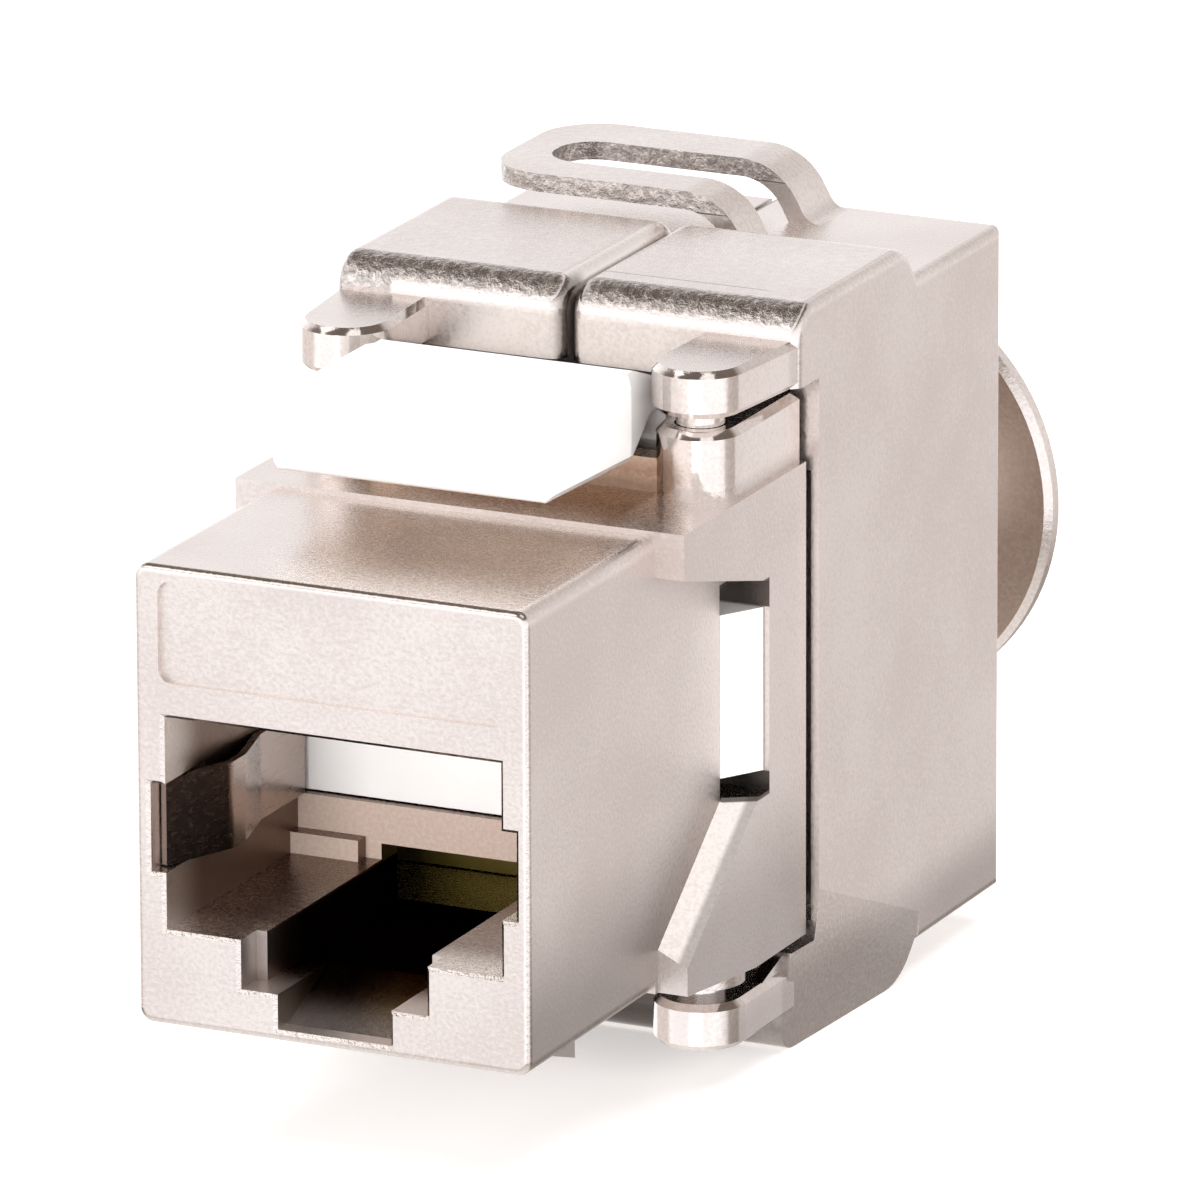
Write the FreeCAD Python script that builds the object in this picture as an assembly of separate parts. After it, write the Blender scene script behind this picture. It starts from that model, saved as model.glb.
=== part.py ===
import FreeCAD, Part
import math
import os

from FreeCAD import Vector

# A shielded keystone module. X is to the right of its front, Y runs from the front face to the cable.
# Heights are measured from the front face's lower edge; the export puts the origin at that face's centre.

# Front block
FACE_WIDTH = 14.5
FACE_HEIGHT = 16.0
BLOCK_DEPTH = 9.8
FACE_CORNER = 0.5
FACE_EDGE = 0.25
LABEL_WIDTH = 12.7
LABEL_HEIGHT = 3.55
LABEL_BELOW_TOP = 0.5
LABEL_DEPTH = 0.2
LABEL_CORNER = 0.5

# Plug port, with the latch of the plug at the bottom
PORT_WIDTH = 12.4
PORT_TOP = 10.75
PORT_DEPTH = 10.0
SHELF_HEIGHT = 3.33
MOUTH_WIDTH = 6.9
MOUTH_DEPTH = 1.3
CHANNEL_WIDTH = 6.12
CHANNEL_FLOOR = 1.6
NOTCH_WIDTH = 4.2
NOTCH_FLOOR = 0.38
NOTCH_FLAT = 0.8
NOTCH_DEPTH = 4.0
SPRING_NOTCH_DEPTH = 0.55
SPRING_NOTCH_LENGTH = 3.0
SPRING_NOTCH_LOW = 5.3
SPRING_NOTCH_HIGH = 8.4
STOP_DEPTH = 0.6
STOP_HEIGHT = 0.75
STOP_WIDTH = 2.55
BAR_LOW = 3.9
BAR_HIGH = 5.3
MOUTH_BEVEL = 0.12
BULKHEAD = 1.2

# Panel catch under the front block
CATCH_WIDTH = 13.8
CATCH_FRONT = 2.4
CATCH_LENGTH = 1.8
CATCH_HEIGHT = 0.6

# Housing behind the front block
SIDE_WALL = 0.85
FLOOR_WALL = 0.9
ROOF_WALL = 0.8
DECK_STEP = 0.2
CHEEK_HALF_WIDTH = 8.35
CHEEK_REAR = 19.6
CHEEK_LOW = -0.6
LEDGE_HALF_WIDTH = 8.0
LEDGE_REAR = 20.9
LEDGE_LOW = 0.1
LEDGE_HIGH = 15.5
LUG_LOW = 14.6
SILL_FRONT = 14.05
SILL_THICKNESS = 0.9
SILL_HEIGHT = 1.2
RIDGE_FRONT = 10.0
RIDGE_LOW = 1.5
RIDGE_TOP_FRONT = 15.1
RIDGE_DROP = 0.42
FOOT_LOW = 0.0
FOOT_SLOPE_END = 15.5
WINDOW_FRONT = 15.0
WINDOW_REAR = 16.6
WINDOW_LOW = 5.4
WINDOW_HIGH = 12.8

# Hinges of the doors
HINGE_X = 6.6
HINGE_Y = 14.9
POST_RADIUS = 1.5
POST_HEIGHT = 2.4
POST_BEVEL = 0.25
TRUNNION_RADIUS = 0.85
TRUNNION_LENGTH = 1.7
BORE_END_GAP = 0.2
EAR_RADIUS = 1.65
EAR_GAP = 0.5
EAR_THICKNESS = 1.65
EAR_BEVEL = 0.22
EAR_ROOT_INNER = 5.1
EAR_SIDE_STEP = 0.05
LOWER_EAR_LIFT = 0.38
LOWER_EAR_INSET = 0.4
GUSSET_FRONT = 15.9
GUSSET_RISE = 0.65
RUNNING_CLEARANCE = 0.05

# Doors, mirror images of each other but for the loop
DOOR_MIDDLE = 8.6
DOOR_HALF_WIDTH = 8.7
DOOR_WALL = 1.1
DOOR_FRONT = 18.2
DOOR_REAR = 35.3
DOOR_HIGH_END = 27.2
DOOR_STEP_RUN = 1.0
DOOR_STEP = 1.25
DOOR_ABOVE_EAR = 1.1
DOOR_EDGE = 0.4
DOOR_FRONT_ROUND = 1.2
DOOR_HIGH_ROUND = 1.2
DOOR_LOW_ROUND = 2.0
SEAM_GAP = 0.16
SEAM_ROUND = 0.7
SWING_GAP = 0.3
LIP_THICKNESS = 0.3
LIP_ROOT = 0.58
LEAN_ANGLE = 8.0
LEAN_RADIUS = 20.0
LEAN_STEP = 0.02
LEAN_FRONT = 18.0
LEAN_FRONT_HIGH = 1.2
LEAN_REAR = 28.3
LEAN_REAR_HIGH = -2.8

# Cable neck and its flange, half on each door
CABLE_BORE_RADIUS = 4.5
NECK_WALL = 1.3
NECK_LENGTH = 5.9
FLANGE_RADIUS = 8.0
FLANGE_THICKNESS = 1.0
FLANGE_BEVEL = 0.25

# Loop of the right door, over the left one
LOOP_LEFT = -7.85
LOOP_SHOULDER = 1.35
LOOP_RIGHT = 2.75
LOOP_FRONT = 27.9
LOOP_REAR = 35.1
LOOP_CLEARANCE = 0.2
LOOP_THICKNESS = 0.65
LOOP_BEND = 2.4
LOOP_CORNER = 2.2
LOOP_ARM_FRONT = 1.9
LOOP_ARM_REAR = 2.4
LOOP_END = 1.4
LOOP_SLOT_ROUND = 1.3
LOOP_FLARE = 0.6
LOOP_FLARE_ROUND = 0.8

# Panel latch
LATCH_WIDTH = 10.4
LATCH_NECK_WIDTH = 9.4
LATCH_TAPER_FRONT = 12.4
LATCH_TAPER_REAR = 13.1
LATCH_FRONT = 5.7
LATCH_FRONT_LOW = 17.85
LATCH_FRONT_ROUND = 0.45
LATCH_TOP = 20.5
LATCH_TOP_FRONT = 7.0
LATCH_TOP_REAR = 13.6
LATCH_REAR_HIGH = 18.95
LATCH_TOP_ROUND = 0.7
LATCH_EDGE = 0.3
LATCH_CORNER = 0.9
LATCH_TAIL_GAP = 0.3
LATCH_TAIL_LOW = 16.8
LATCH_WALL = 1.0
LATCH_ROUND = 0.35
LATCH_PIVOT_AHEAD = 1.1
LATCH_PIVOT_ABOVE_DECK = 1.25
LATCH_STUB_RADIUS = 0.55
LATCH_STUB_ENGAGEMENT = 0.6
LATCH_HEEL = 13.6
LATCH_HEEL_LOW = 17.55
LATCH_ARCH_FRONT = 15.0
LATCH_ARCH_REAR = 16.2
LATCH_ARCH_TOP = 18.7

# Contact insert
FIT = 0.05
INSERT_LENGTH = 5.8
INSERT_SETBACK = 0.4
TONGUE_WIDTH = 8.8
TONGUE_FRONT = 6.2
TONGUE_THICKNESS = 0.28
TAB_LOW = 6.1
TAB_HEIGHT = 5.75
TAB_PROUD = 0.9

# Plug contacts
CONTACT_COUNT = 8
CONTACT_PITCH = 1.02
CONTACT_WIDTH = 0.46
CONTACT_THICKNESS = 0.3
CONTACT_FRONT = 6.6
CONTACT_BEND = 0.4
CONTACT_NOSE = 0.9
CONTACT_TIP_Y = 9.3
CONTACT_TIP_DROP = 1.7

# Shield springs
LEAF_THICKNESS = 0.25
LEAF_HEIGHT = 3.0
LEAF_BOW = 0.55
LEAF_BOW_FRONT = 3.4
LEAF_BOW_REAR = 4.4
LEAF_FLAT_FRONT = 6.6
LEAF_TIP_Y = 0.8
LEAF_BEND = 0.5

# Circuit board and wire contacts
BOARD_THICKNESS = 1.2
PIN_REACH = 0.5
PIN_RELIEF_GAP = 0.2
IDC_ROW_COUNT = 4
IDC_PITCH = 3.2
IDC_BASE = 1.7
IDC_TOWER_LENGTH = 6.1
IDC_TOWER_WIDTH = 2.6
IDC_BLOCK_HEIGHT = 6.4
IDC_WIRE_SLOT = 0.9
IDC_SLOT_DEPTH = 4.5
BLADE_WIDTH = 1.7
BLADE_THICKNESS = 0.4
BLADE_TIP_BELOW = 0.6
BLADE_SLOT = 0.34
BLADE_SLOT_DEPTH = 3.6
BLADE_PIN_WIDTH = 0.6

# Wire cap
CAP_SIDE_GAP = 0.6
CAP_TOP_GAP = 1.9
CAP_REAR_GAP = 1.0
CAP_CORNER = 1.5
CAP_BORE_RADIUS = 3.8
CAP_GROOVE_WIDTH = 1.2
CAP_GROOVE_DEPTH = 1.6
CAP_RIB_LENGTH = 1.6
CAP_RIB_CLEARANCE = 0.15

# Levels and places that follow from the sizes above
FACE_HALF = FACE_WIDTH / 2
PORT_HALF = PORT_WIDTH / 2
DECK_TOP = FACE_HEIGHT + DECK_STEP
POST_TOP = DECK_TOP + POST_HEIGHT
EAR_LOW = POST_TOP + EAR_GAP
EAR_TOP = EAR_LOW + EAR_THICKNESS
LOWER_EAR_TOP = 2 * DOOR_MIDDLE - EAR_LOW + LOWER_EAR_LIFT
LOWER_POST_END = LOWER_EAR_TOP + EAR_GAP
DOOR_TOP = EAR_TOP + DOOR_ABOVE_EAR
DOOR_REAR_TOP = DOOR_TOP - DOOR_STEP
CAVITY_HALF = FACE_HALF - SIDE_WALL
CAVITY_TOP = FACE_HEIGHT - ROOF_WALL
CAVITY_FRONT = PORT_DEPTH + BULKHEAD
BOARD_FRONT = CAVITY_FRONT + INSERT_LENGTH
BOARD_REAR = BOARD_FRONT + BOARD_THICKNESS
TOWER_FOOT = BOARD_REAR + IDC_BASE
TOWER_END = TOWER_FOOT + IDC_TOWER_LENGTH
TOWER_ROW_HALF = (IDC_ROW_COUNT - 1) / 2 * IDC_PITCH + IDC_TOWER_WIDTH / 2
TOWER_ROOM_HALF = max(CAVITY_HALF, TOWER_ROW_HALF + FIT)
LATCH_REAR = DOOR_FRONT - LATCH_TAIL_GAP
LATCH_PIVOT_Y = DOOR_FRONT - LATCH_PIVOT_AHEAD
LATCH_PIVOT_Z = DECK_TOP + LATCH_PIVOT_ABOVE_DECK
CONTACT_TOP = PORT_TOP - FIT - TONGUE_THICKNESS - FIT
BLADE_END = TOWER_END - BLADE_TIP_BELOW
CAP_REAR = DOOR_REAR - DOOR_WALL - CAP_REAR_GAP
CAP_HALF_WIDTH = DOOR_HALF_WIDTH - DOOR_WALL - CAP_SIDE_GAP
CAP_HALF_HEIGHT = DOOR_REAR_TOP - DOOR_WALL - CAP_TOP_GAP - DOOR_MIDDLE
BIG = 60.0
OVERRUN = 1.0
TINY = 1e-6


# Building blocks
def box(x0, x1, y0, y1, z0, z1):
    return Part.makeBox(x1 - x0, y1 - y0, z1 - z0, Vector(x0, y0, z0))


def outline(corners, place):
    """Closed wire through corners (u, v) or (u, v, radius), the last rounded by a tangent arc."""
    stops = []
    count = len(corners)
    for i, corner in enumerate(corners):
        at = Vector(corner[0], corner[1], 0)
        radius = corner[2] if len(corner) > 2 else 0
        if not radius:
            stops.append((at, None, at))
            continue
        before = Vector(*corners[i - 1][:2], 0) - at
        after = Vector(*corners[(i + 1) % count][:2], 0) - at
        half = before.getAngle(after) / 2
        before.normalize()
        after.normalize()
        reach = radius / math.tan(half)
        inward = (before + after).normalize()
        middle = at + inward * (radius / math.sin(half) - radius)
        stops.append((at + before * reach, middle, at + after * reach))
    edges = []
    for i, (start, middle, end) in enumerate(stops):
        if middle is not None:
            edges.append(Part.Arc(place(start), place(middle), place(end)).toShape())
        following = stops[(i + 1) % count][0]
        if end.distanceToPoint(following) > TINY:
            edges.append(Part.LineSegment(place(end), place(following)).toShape())
    return Part.Wire(Part.__sortEdges__(edges))


def along_x(corners, x0, x1):
    """Solid from an outline of (y, z) corners."""
    wire = outline(corners, lambda p: Vector(x0, p.x, p.y))
    return Part.Face(wire).extrude(Vector(x1 - x0, 0, 0))


def along_y(corners, y0, y1):
    """Solid from an outline of (x, z) corners."""
    wire = outline(corners, lambda p: Vector(p.x, y0, p.y))
    return Part.Face(wire).extrude(Vector(0, y1 - y0, 0))


def along_z(corners, z0, z1):
    """Solid from an outline of (x, y) corners."""
    wire = outline(corners, lambda p: Vector(p.x, p.y, z0))
    return Part.Face(wire).extrude(Vector(0, 0, z1 - z0))


def post(x, y, radius, z0, z1):
    return Part.makeCylinder(radius, z1 - z0, Vector(x, y, z0))


def rod(radius, y0, y1, x=0.0, z=DOOR_MIDDLE):
    return Part.makeCylinder(radius, y1 - y0, Vector(x, y0, z), Vector(0, 1, 0))


def strip(path, thickness, direction):
    """Bent sheet: a planar wire thickened to one side and extruded."""
    band = path.makeOffset2D(thickness, 0, True, True, False)
    return band.extrude(direction)


def bent_path(corners, place):
    """Open wire through corners (u, v, radius) with tangent arcs at the inner ones."""
    edges = []
    start = Vector(*corners[0][:2], 0)
    for before, corner, after in zip(corners, corners[1:], corners[2:]):
        at = Vector(corner[0], corner[1], 0)
        a = (Vector(*before[:2], 0) - at).normalize()
        b = (Vector(*after[:2], 0) - at).normalize()
        half = a.getAngle(b) / 2
        radius = corner[2]
        reach = radius / math.tan(half)
        middle = at + (a + b).normalize() * (radius / math.sin(half) - radius)
        edges.append(Part.LineSegment(place(start), place(at + a * reach)).toShape())
        edges.append(Part.Arc(place(at + a * reach), place(middle), place(at + b * reach)).toShape())
        start = at + b * reach
    edges.append(Part.LineSegment(place(start), place(Vector(*corners[-1][:2], 0))).toShape())
    return Part.Wire(edges)


def flipped(z):
    """The height as far below the doors' middle as z is above it."""
    return 2 * DOOR_MIDDLE - z


def other_side(shape):
    return shape.mirror(Vector(0, 0, 0), Vector(1, 0, 0))


def both_sides(shape):
    return [shape, other_side(shape)]


def edges_where(shape, test):
    return [edge for edge in shape.Edges if test(edge.BoundBox)]


# Front housing
def front_block():
    corners = [(-FACE_HALF, 0, FACE_CORNER), (FACE_HALF, 0, FACE_CORNER),
               (FACE_HALF, FACE_HEIGHT, FACE_CORNER), (-FACE_HALF, FACE_HEIGHT, FACE_CORNER)]
    block = along_y(corners, 0, WINDOW_FRONT)
    return block.makeFillet(FACE_EDGE, edges_where(block, lambda b: b.YMax < TINY))


def cheek():
    """Right flange behind the front block: window, slanted ridge and a ledge under the door's lip."""
    corners = [(BLOCK_DEPTH, DECK_TOP), (CHEEK_REAR, DECK_TOP), (CHEEK_REAR, CHEEK_LOW),
               (FOOT_SLOPE_END, CHEEK_LOW), (RIDGE_FRONT, FOOT_LOW), (RIDGE_FRONT, RIDGE_LOW),
               (RIDGE_TOP_FRONT, WINDOW_LOW), (WINDOW_REAR, WINDOW_LOW), (WINDOW_REAR, WINDOW_HIGH),
               (BLOCK_DEPTH, LUG_LOW)]
    plate = along_x(corners, CAVITY_HALF, CHEEK_HALF_WIDTH).cut(ridge_cut())
    ledge = box(CAVITY_HALF, LEDGE_HALF_WIDTH, CHEEK_REAR - OVERRUN, LEDGE_REAR, LEDGE_LOW, LEDGE_HIGH)
    return plate.fuse(ledge)


def ridge_cut():
    """Wedge that turns the slanted ridge's facet outwards."""
    foot = Vector(0, RIDGE_FRONT, RIDGE_LOW)
    run = Vector(0, RIDGE_TOP_FRONT, WINDOW_LOW) - foot
    along = Vector(run).normalize()
    out = Vector(1, 0, 0).cross(along)
    reach = CHEEK_HALF_WIDTH + OVERRUN
    drop = RIDGE_DROP * (reach - FACE_HALF) / (CHEEK_HALF_WIDTH - FACE_HALF)
    section = [(FACE_HALF, 0), (reach, -drop), (reach, OVERRUN), (FACE_HALF, OVERRUN)]
    corners = [foot - along * OVERRUN + Vector(x, 0, 0) + out * rise for x, rise in section]
    face = Part.Face(Part.makePolygon(corners + corners[:1]))
    return face.extrude(run + along * (2 * OVERRUN))


def upper_post():
    """Right upper post: round in front, running back along the cheek."""
    low = DECK_TOP - ROOF_WALL
    wall = box(HINGE_X - POST_RADIUS, HINGE_X + POST_RADIUS, HINGE_Y, CHEEK_REAR, low, POST_TOP)
    solid = wall.fuse(post(HINGE_X, HINGE_Y, POST_RADIUS, low, POST_TOP)).removeSplitter()
    rim = edges_where(solid, lambda b: b.ZMin > POST_TOP - TINY)
    return solid.makeChamfer(POST_BEVEL, rim)


def lower_post():
    return post(HINGE_X, HINGE_Y, POST_RADIUS, LOWER_POST_END, FLOOR_WALL)


def hinge_bores():
    depth = TRUNNION_LENGTH - EAR_GAP + BORE_END_GAP
    radius = TRUNNION_RADIUS + RUNNING_CLEARANCE
    return [post(HINGE_X, HINGE_Y, radius, POST_TOP - depth, POST_TOP + OVERRUN),
            post(HINGE_X, HINGE_Y, radius, LOWER_POST_END - OVERRUN, LOWER_POST_END + depth)]


def sill():
    """Low wall across the deck under the latch."""
    half = HINGE_X
    return box(-half, half, SILL_FRONT, SILL_FRONT + SILL_THICKNESS, FACE_HEIGHT, DECK_TOP + SILL_HEIGHT)


def port_space():
    main = box(-PORT_HALF, PORT_HALF, -OVERRUN, PORT_DEPTH, SHELF_HEIGHT, PORT_TOP)
    stop = box(PORT_HALF - STOP_WIDTH, PORT_HALF, PORT_DEPTH - STOP_DEPTH, PORT_DEPTH,
               SHELF_HEIGHT, SHELF_HEIGHT + STOP_HEIGHT)
    main = main.cut(both_sides(stop))
    spring_half = PORT_HALF + SPRING_NOTCH_DEPTH
    return main.fuse([
        box(-MOUTH_WIDTH / 2, MOUTH_WIDTH / 2, -OVERRUN, MOUTH_DEPTH, CHANNEL_FLOOR, SHELF_HEIGHT + OVERRUN),
        box(-CHANNEL_WIDTH / 2, CHANNEL_WIDTH / 2, -OVERRUN, CAVITY_FRONT + OVERRUN, CHANNEL_FLOOR, BAR_LOW),
        along_x([(-OVERRUN, NOTCH_FLOOR), (NOTCH_FLAT, NOTCH_FLOOR), (NOTCH_DEPTH, CHANNEL_FLOOR),
                 (NOTCH_DEPTH, CHANNEL_FLOOR + OVERRUN), (-OVERRUN, CHANNEL_FLOOR + OVERRUN)],
                -NOTCH_WIDTH / 2, NOTCH_WIDTH / 2),
        box(-spring_half, spring_half, -OVERRUN, SPRING_NOTCH_LENGTH, SPRING_NOTCH_LOW, SPRING_NOTCH_HIGH),
        box(-PORT_HALF, PORT_HALF, PORT_DEPTH - OVERRUN, CAVITY_FRONT + OVERRUN, BAR_HIGH, PORT_TOP),
    ])


def label_recess():
    half = LABEL_WIDTH / 2
    top = FACE_HEIGHT - LABEL_BELOW_TOP
    low = top - LABEL_HEIGHT
    corners = [(-half, low, LABEL_CORNER), (half, low, LABEL_CORNER),
               (half, top, LABEL_CORNER), (-half, top, LABEL_CORNER)]
    return along_y(corners, -OVERRUN, LABEL_DEPTH)


def latch_bore():
    radius = LATCH_STUB_RADIUS + RUNNING_CLEARANCE
    depth = LATCH_STUB_ENGAGEMENT + BORE_END_GAP
    start = Vector(HINGE_X - POST_RADIUS - OVERRUN, LATCH_PIVOT_Y, LATCH_PIVOT_Z)
    return Part.makeCylinder(radius, depth + OVERRUN, start, Vector(1, 0, 0))


def front_housing():
    core = box(-FACE_HALF, FACE_HALF, BLOCK_DEPTH, CHEEK_REAR, 0, DECK_TOP)
    catch = along_x([(CATCH_FRONT, 0), (CATCH_FRONT + CATCH_LENGTH, 0),
                     (CATCH_FRONT + CATCH_LENGTH, -CATCH_HEIGHT)], -CATCH_WIDTH / 2, CATCH_WIDTH / 2)
    pieces = [core, catch, sill()]
    for piece in (cheek(), upper_post(), lower_post()):
        pieces += both_sides(piece)
    solid = front_block().fuse(pieces)
    cavity = box(-CAVITY_HALF, CAVITY_HALF, CAVITY_FRONT, CHEEK_REAR + OVERRUN, FLOOR_WALL, CAVITY_TOP)
    tower_room = box(-TOWER_ROOM_HALF, TOWER_ROOM_HALF, BOARD_REAR, LEDGE_REAR + OVERRUN,
                     FLOOR_WALL, CAVITY_TOP)
    window = box(0, BIG, WINDOW_FRONT, WINDOW_REAR, WINDOW_LOW, WINDOW_HIGH)
    cuts = [cavity, tower_room, port_space(), label_recess()]
    for piece in [window, latch_bore()] + hinge_bores():
        cuts += both_sides(piece)
    solid = solid.cut(cuts).removeSplitter()
    mouth = edges_where(solid, lambda b: b.YMax < TINY and b.ZMax < PORT_TOP + TINY
                        and b.ZMin > NOTCH_FLOOR - TINY
                        and max(-b.XMin, b.XMax) < PORT_HALF + SPRING_NOTCH_DEPTH + TINY)
    return solid.makeChamfer(MOUTH_BEVEL, mouth)


# Doors
def tangent_point(point, side):
    """Where a line from a point touches the ear's round end; side is +1 or -1."""
    centre = Vector(HINGE_X, HINGE_Y, 0)
    reach = point - centre
    turn = side * math.acos(EAR_RADIUS / reach.Length)
    direction = math.atan2(reach.y, reach.x) + turn
    return centre + Vector(math.cos(direction), math.sin(direction), 0) * EAR_RADIUS


def ear(low, root_outer):
    """Right ear, widening from the round end to the door."""
    root = DOOR_FRONT + DOOR_WALL / 2
    inner = Vector(EAR_ROOT_INNER, root, 0)
    outer = Vector(root_outer, root, 0)
    left = tangent_point(inner, 1)
    right = tangent_point(outer, -1)
    tip = Vector(HINGE_X, HINGE_Y - EAR_RADIUS, 0)
    wire = Part.Wire([
        Part.LineSegment(inner, left).toShape(), Part.Arc(left, tip, right).toShape(),
        Part.LineSegment(right, outer).toShape(), Part.LineSegment(outer, inner).toShape()])
    plate = Part.Face(wire).extrude(Vector(0, 0, EAR_THICKNESS))
    plate.translate(Vector(0, 0, low))
    rims = edges_where(plate, lambda b: b.ZLength < TINY and b.YMin < DOOR_FRONT)
    return plate.makeChamfer(EAR_BEVEL, rims)


def upper_ear():
    plate = ear(EAR_LOW, DOOR_HALF_WIDTH - EAR_SIDE_STEP)
    return plate.fuse(post(HINGE_X, HINGE_Y, TRUNNION_RADIUS, EAR_LOW - TRUNNION_LENGTH, EAR_LOW + EAR_BEVEL))


def lower_ear():
    """Right lower ear, with a gusset that rises to the door's side."""
    outer = DOOR_HALF_WIDTH - LOWER_EAR_INSET
    plate = ear(LOWER_EAR_TOP - EAR_THICKNESS, outer)
    root = DOOR_FRONT + DOOR_WALL / 2
    foot = LOWER_EAR_TOP - EAR_BEVEL
    gusset = along_x([(GUSSET_FRONT, foot), (root, foot), (root, LOWER_EAR_TOP + GUSSET_RISE)],
                     DOOR_HALF_WIDTH - DOOR_WALL, outer - EAR_BEVEL)
    pin = post(HINGE_X, HINGE_Y, TRUNNION_RADIUS, foot, LOWER_EAR_TOP + TRUNNION_LENGTH)
    return plate.fuse([gusset, pin])


def door_profile(inset):
    """Corners of the doors' side outline, moved in by the wall."""
    top = DOOR_TOP - inset
    rear_top = DOOR_REAR_TOP - inset
    front = DOOR_FRONT + inset
    rear = DOOR_REAR - inset
    high_end = DOOR_HIGH_END - inset / 2
    step_end = high_end + DOOR_STEP_RUN
    upper = [(front, top, DOOR_FRONT_ROUND), (high_end, top, DOOR_HIGH_ROUND),
             (step_end, rear_top), (rear, rear_top)]
    lower = [(rear, flipped(rear_top)), (step_end, flipped(rear_top)),
             (high_end, flipped(top), DOOR_LOW_ROUND), (front, flipped(top), DOOR_FRONT_ROUND)]
    return upper + lower


def door_shell():
    """Right half shell: roof, floor, side and rear wall, open towards the housing and the seam."""
    shell = along_x(door_profile(0), SEAM_GAP / 2, DOOR_HALF_WIDTH)
    side = edges_where(shell, lambda b: b.XMin > DOOR_HALF_WIDTH - TINY)
    shell = shell.makeFillet(DOOR_EDGE, side)
    seam = edges_where(shell, lambda b: b.YMax < DOOR_FRONT + TINY and b.XMax < SEAM_GAP)
    shell = shell.makeFillet(SEAM_ROUND, seam)
    inner = DOOR_HALF_WIDTH - DOOR_WALL
    hollow = along_x([corner[:2] for corner in door_profile(DOOR_WALL)], -OVERRUN, inner)
    mouth = box(-OVERRUN, inner, 0, DOOR_FRONT + 2 * DOOR_WALL, LOWER_EAR_TOP, EAR_LOW)
    edge = CHEEK_REAR + SWING_GAP
    cheek_gap = box(0, BIG, 0, edge, CHEEK_LOW - SWING_GAP, EAR_LOW)
    lip_end = LEDGE_REAR + SWING_GAP
    lip = along_z([(DOOR_HALF_WIDTH - LIP_THICKNESS, edge), (DOOR_HALF_WIDTH - LIP_ROOT, lip_end),
                   (0, lip_end), (0, edge)], LEDGE_LOW - SWING_GAP, LEDGE_HIGH + SWING_GAP)
    return shell.cut([hollow, mouth, cheek_gap, lip, lean_cut()])


def lean_cut():
    """What is cut off the right door's side, which bends in below a line that falls towards the cable."""
    low = -FACE_HEIGHT
    angle = math.radians(LEAN_ANGLE)
    side = DOOR_HALF_WIDTH + LEAN_STEP
    inset = (LEAN_FRONT_HIGH - low) * math.tan(angle)
    start = LEAN_FRONT_HIGH + LEAN_RADIUS * math.tan(angle / 2)
    corners = [(BIG, start), (side, start), (side, LEAN_FRONT_HIGH, LEAN_RADIUS),
               (side - inset, low), (BIG, low)]
    face = Part.Face(outline(corners, lambda p: Vector(p.x, LEAN_FRONT, p.y)))
    return face.extrude(Vector(0, LEAN_REAR - LEAN_FRONT, LEAN_REAR_HIGH - LEAN_FRONT_HIGH))


def cable_neck():
    """Right half of the neck with its flange."""
    flange_front = DOOR_REAR + NECK_LENGTH
    flange_rear = flange_front + FLANGE_THICKNESS
    flange = rod(FLANGE_RADIUS, flange_front, flange_rear)
    flange = flange.makeChamfer(FLANGE_BEVEL, edges_where(flange, lambda b: b.YLength < TINY))
    neck = rod(CABLE_BORE_RADIUS + NECK_WALL, DOOR_REAR - DOOR_WALL / 2, flange_rear).fuse(flange)
    return neck.cut(box(-BIG, SEAM_GAP / 2, 0, BIG, -BIG, BIG))


def door():
    solid = door_shell().fuse([upper_ear(), lower_ear(), cable_neck()])
    bore = rod(CABLE_BORE_RADIUS, DOOR_REAR - 2 * DOOR_WALL, BIG)
    return solid.cut(bore).removeSplitter()


def loop():
    """Slotted strap that rises from the right door's roof and lies over the left door."""
    high = DOOR_TOP + LOOP_CLEARANCE + LOOP_THICKNESS
    foot = DOOR_REAR_TOP - DOOR_WALL / 2
    path = bent_path([(LOOP_LEFT, high), (LOOP_SHOULDER, high, LOOP_BEND), (LOOP_RIGHT, foot)],
                     lambda p: Vector(p.x, LOOP_FRONT, p.y))
    strap = strip(path, -LOOP_THICKNESS, Vector(0, LOOP_REAR - LOOP_FRONT, 0))
    lean = (LOOP_SHOULDER - LOOP_RIGHT) / (high - foot)
    at_roof = LOOP_RIGHT + lean * (DOOR_REAR_TOP - foot)
    flare = along_y([(at_roof, foot), (at_roof + LOOP_FLARE, foot), (at_roof + LOOP_FLARE, DOOR_REAR_TOP),
                     (at_roof, DOOR_REAR_TOP, LOOP_FLARE_ROUND),
                     (at_roof + lean * LOOP_FLARE, DOOR_REAR_TOP + LOOP_FLARE)], LOOP_FRONT, LOOP_REAR)
    far = LOOP_RIGHT + OVERRUN
    plan = along_z([(LOOP_LEFT, LOOP_FRONT, LOOP_CORNER), (far, LOOP_FRONT), (far, LOOP_REAR),
                    (LOOP_LEFT, LOOP_REAR, LOOP_CORNER)], 0, BIG)
    slot_front = LOOP_FRONT + LOOP_ARM_FRONT
    slot_rear = LOOP_REAR - LOOP_ARM_REAR
    slot_left = LOOP_LEFT + LOOP_END
    slot = along_z([(slot_left, slot_front, LOOP_SLOT_ROUND), (far, slot_front), (far, slot_rear),
                    (slot_left, slot_rear, LOOP_SLOT_ROUND)], 0, BIG)
    return strap.fuse(flare).common(plan).cut(slot)


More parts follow.
